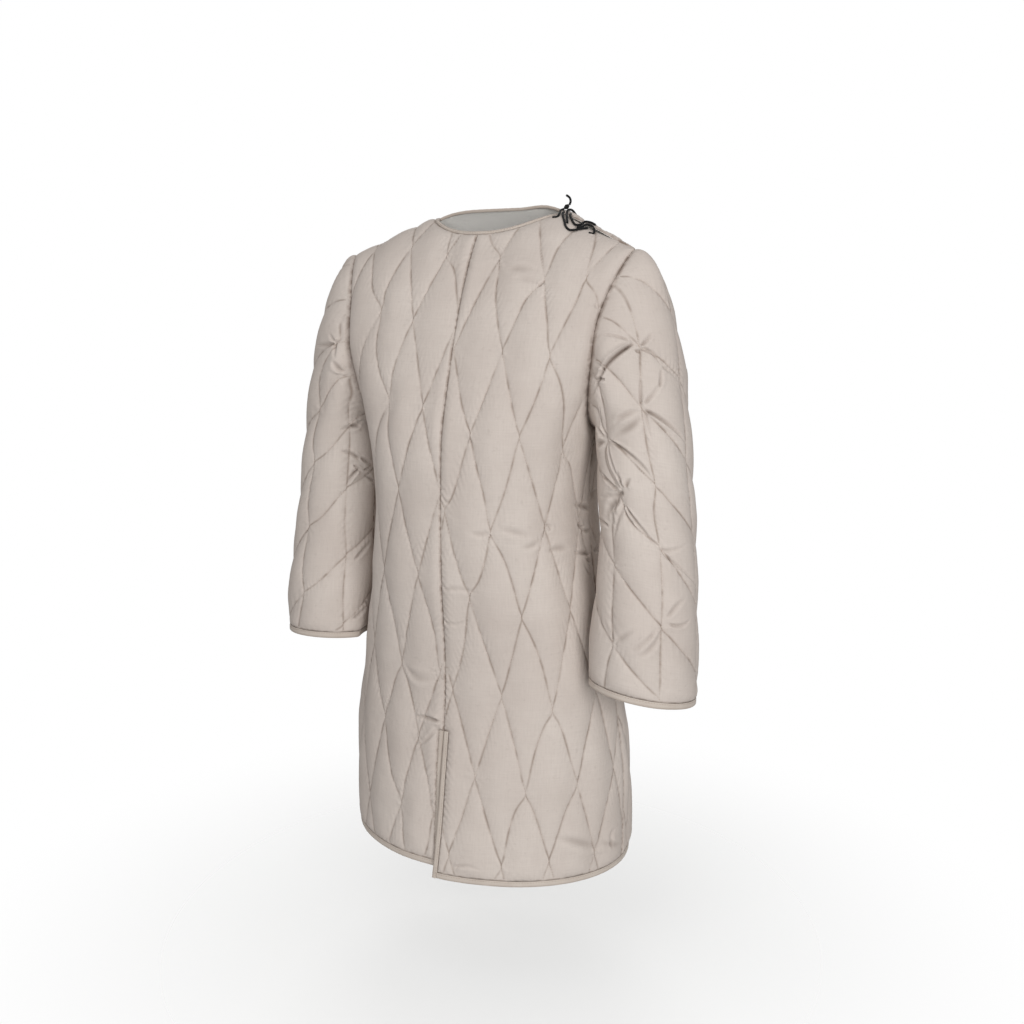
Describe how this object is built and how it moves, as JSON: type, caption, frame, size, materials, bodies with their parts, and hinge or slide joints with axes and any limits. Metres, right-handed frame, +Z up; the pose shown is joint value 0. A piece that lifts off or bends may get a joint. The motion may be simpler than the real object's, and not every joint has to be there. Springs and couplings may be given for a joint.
{
  "type": "gambeson",
  "caption": "Long quilted cotton gambeson with straight sleeves, a round neck, a laced opening on the left shoulder and a slit up the front of the skirt.",
  "frame": {"origin": "on the wearer's middle plane, level with the points where the shoulder lines meet the neck, in the plane of the side seams", "axes": "+X to the wearer's left, -Y to the front, +Z up"},
  "size_m": [0.708, 0.3679, 1.0225],
  "materials": {
    "quilted_cotton": "matt undyed plain-weave cotton over wadding, quilted in long lozenges",
    "cotton_binding": "matt cotton tape, folded over the edges and stitched",
    "black_lace": "round black cord with a slight sheen"
  },
  "bodies": {
    "root": {"back": "quilted_cotton", "front_left": "quilted_cotton", "front_right": "quilted_cotton", "sleeve_left": "quilted_cotton", "sleeve_right": "quilted_cotton", "neck_binding": "cotton_binding", "hem_binding": "cotton_binding", "slit_binding_left": "cotton_binding", "slit_binding_right": "cotton_binding", "cuff_binding_left": "cotton_binding", "cuff_binding_right": "cotton_binding", "lace_front": "black_lace", "lace_end": "black_lace", "lace_loop": "black_lace", "lace_arc": "black_lace", "lace_long": "black_lace", "lace_back": "black_lace", "lace_knot": "black_lace"}
  },
  "joints": []
}
